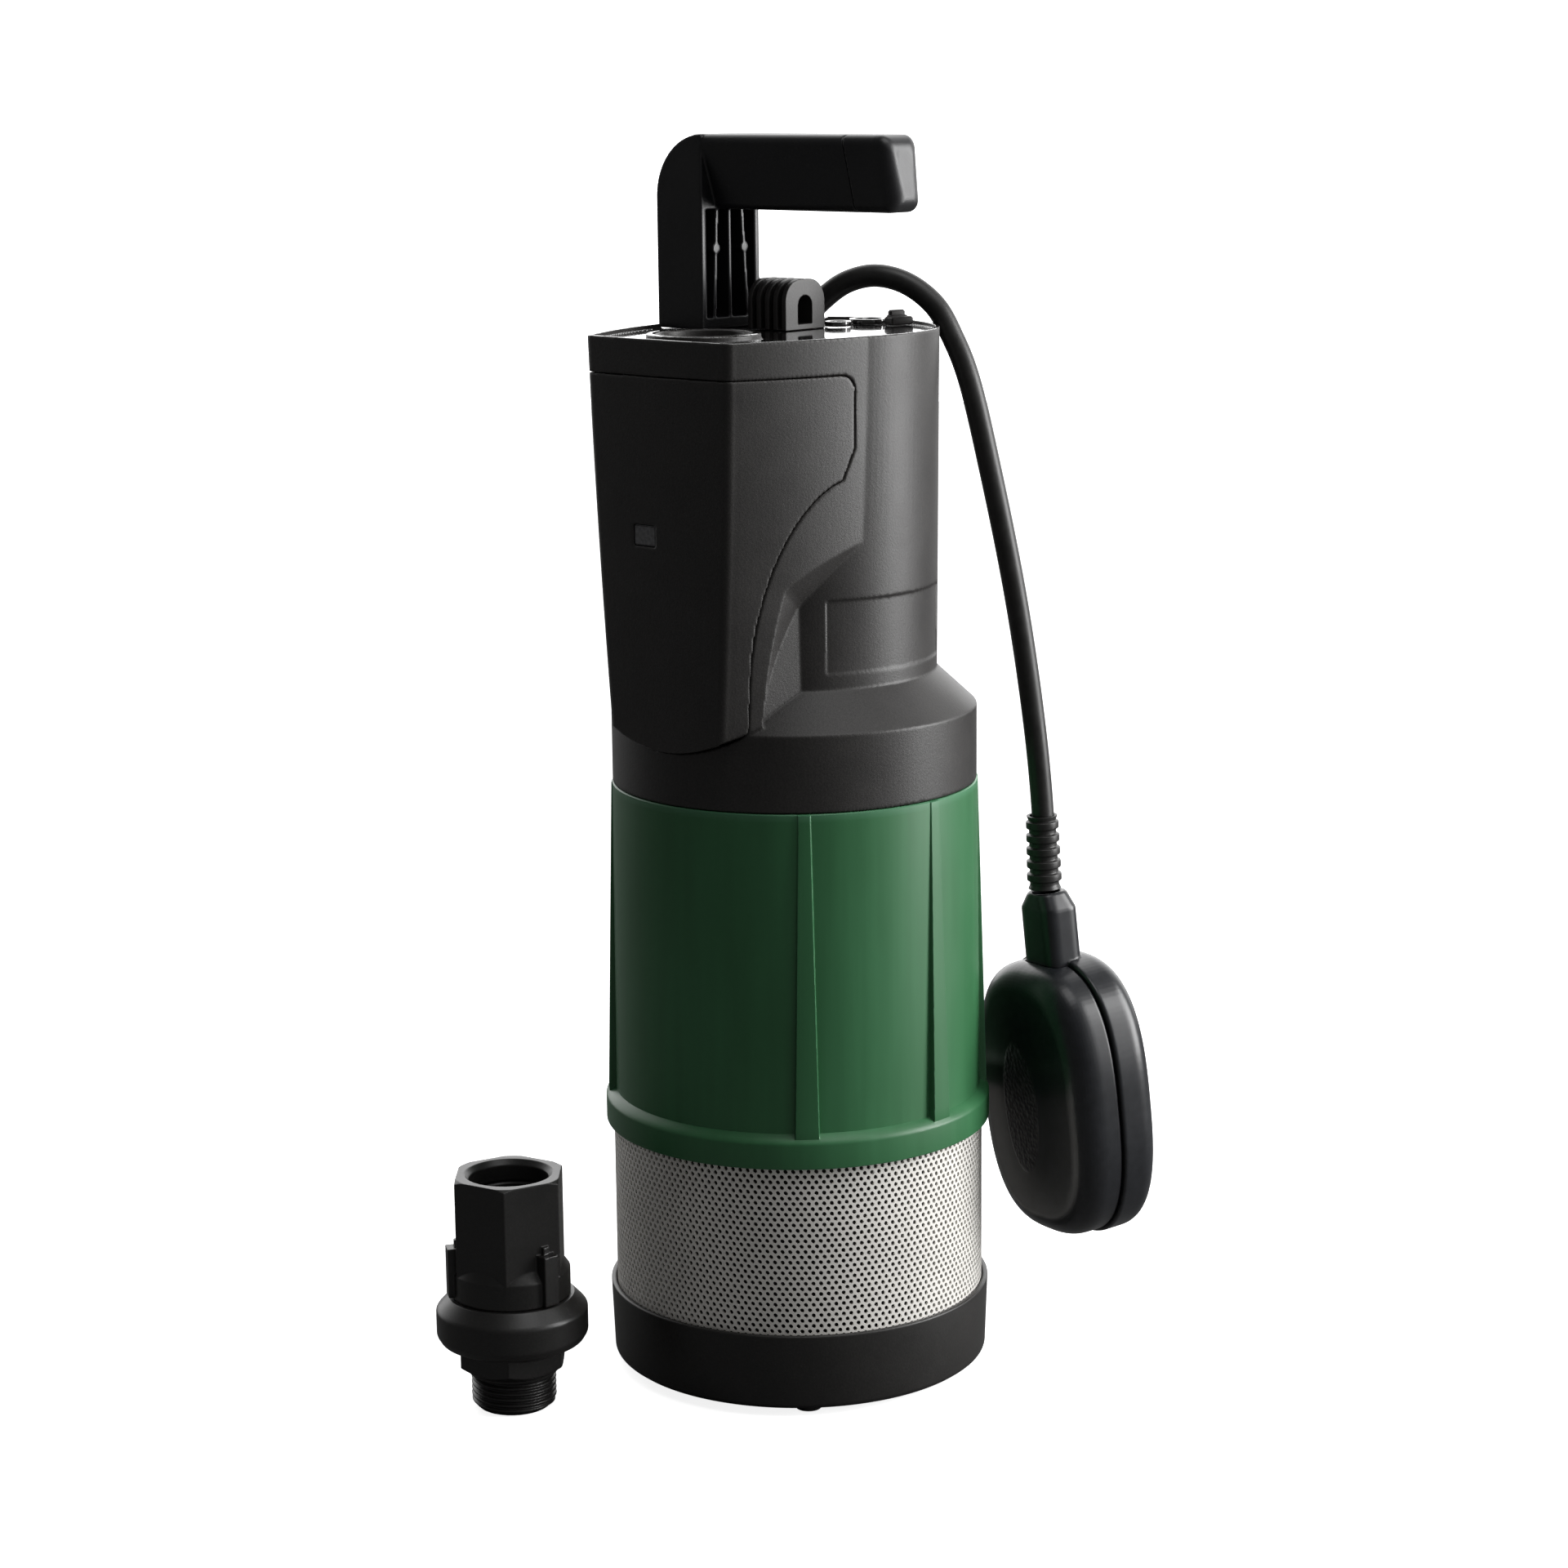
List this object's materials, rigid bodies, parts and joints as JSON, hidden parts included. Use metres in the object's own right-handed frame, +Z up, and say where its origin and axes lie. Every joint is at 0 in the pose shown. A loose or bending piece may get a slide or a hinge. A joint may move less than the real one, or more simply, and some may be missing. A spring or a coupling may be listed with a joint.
{
  "type": "submersible sump pump",
  "caption": "Upright submersible pump with a green jacket, perforated strainer foot, black head, side-entry handle, tethered float switch and a loose outlet adapter.",
  "frame": {"origin": "pump axis at floor level, on the pad under the middle of the base", "axes": "+Z up along the pump axis; -Y is the side of the flat front cover and the outlet; the handle grip runs along +X"},
  "size_m": [0.1912, 0.2547, 0.486],
  "materials": {
    "black_plastic": "fine moulded grain, satin black",
    "handle_plastic": "smooth satin blue-black",
    "green_plastic": "satin dark green",
    "stainless": "bright stainless sheet",
    "machined_steel": "machined steel",
    "float_plastic": "semi-gloss black with a textured oval",
    "cable_rubber": "matt black cable sheath",
    "copper": "enamelled copper windings",
    "ceramic": "off-white ceramic or moulding",
    "impeller_plastic": "glass-filled dark grey",
    "board": "green circuit board",
    "window": "smoky clear insert",
    "seal_rubber": "black nitrile"
  },
  "bodies": {
    "pump": {"base_cup": "black_plastic", "strainer_sleeve": "stainless", "outer_jacket": "green_plastic", "head_housing": "black_plastic", "front_cover": "black_plastic", "status_window": "window", "outlet_insert": "black_plastic", "handle": "handle_plastic", "handle_end_cap": "handle_plastic", "handle_bolt_1": "machined_steel", "handle_bolt_2": "machined_steel", "lifting_lug": "black_plastic", "float_cable_gland": "black_plastic", "power_cable_gland": "black_plastic", "deck_plug_1": "black_plastic", "deck_plug_2": "black_plastic", "float_cable": "cable_rubber", "power_cable": "cable_rubber", "cable_clip": "black_plastic", "lower_end_bell": "impeller_plastic", "motor_can": "stainless", "upper_end_bell": "stainless", "stator_core": "machined_steel", "lower_winding": "copper", "upper_winding": "copper", "lower_bearing": "machined_steel", "upper_bearing": "machined_steel", "seal_seat": "ceramic", "stage_casing": "stainless", "jacket_o_ring": "seal_rubber", "control_board": "board", "status_light": "ceramic", "start_capacitor": "impeller_plastic", "terminal_block": "ceramic", "flow_sensor": "impeller_plastic", "base_screw_1": "machined_steel", "diffuser_1": "impeller_plastic", "base_screw_2": "machined_steel", "diffuser_2": "impeller_plastic", "base_screw_3": "machined_steel", "diffuser_3": "impeller_plastic", "base_screw_4": "machined_steel", "diffuser_4": "impeller_plastic"},
    "rotating_assembly": {"shaft": "machined_steel", "rotor_core": "machined_steel", "seal_rotary": "seal_rubber", "impeller_nut": "machined_steel", "impeller_1": "impeller_plastic", "impeller_2": "impeller_plastic", "impeller_3": "impeller_plastic", "impeller_4": "impeller_plastic"},
    "float_switch": {"strain_relief_boot": "cable_rubber", "float_front_shell": "float_plastic", "float_rear_shell": "float_plastic", "float_microswitch": "ceramic"},
    "float_ball": {"float_switch_ball": "machined_steel"},
    "outlet_adapter": {"adapter_base": "black_plastic", "adapter_socket": "black_plastic"},
    "check_valve": {"valve_poppet": "impeller_plastic", "valve_spring": "machined_steel"}
  },
  "joints": [
    {"name": "rotor_spin", "type": "hinge", "parent": "pump", "child": "rotating_assembly", "pos_m": [0, 0, 0.17], "axis": [0, 0, 1], "continuous": true},
    {"name": "float_swing", "type": "hinge", "parent": "pump", "child": "float_switch", "pos_m": [0.03614, 0.05455, 0.4065], "axis": [0.6756, -0.7373, 0], "range_deg": [0, 130], "deforming": ["float_cable"]},
    {"name": "float_ball_roll", "type": "slide", "parent": "float_switch", "child": "float_ball", "axis": [-0.0707, -0.0648, 0.9954], "range_m": [0, 0.025]},
    {"name": "adapter_lift", "type": "slide", "parent": "pump", "child": "outlet_adapter", "axis": [0, 0, 1], "range_m": [0, 0.12]},
    {"name": "check_valve_lift", "type": "slide", "parent": "outlet_adapter", "child": "check_valve", "axis": [0, 0, 1], "range_m": [0, 0.006]}
  ]
}
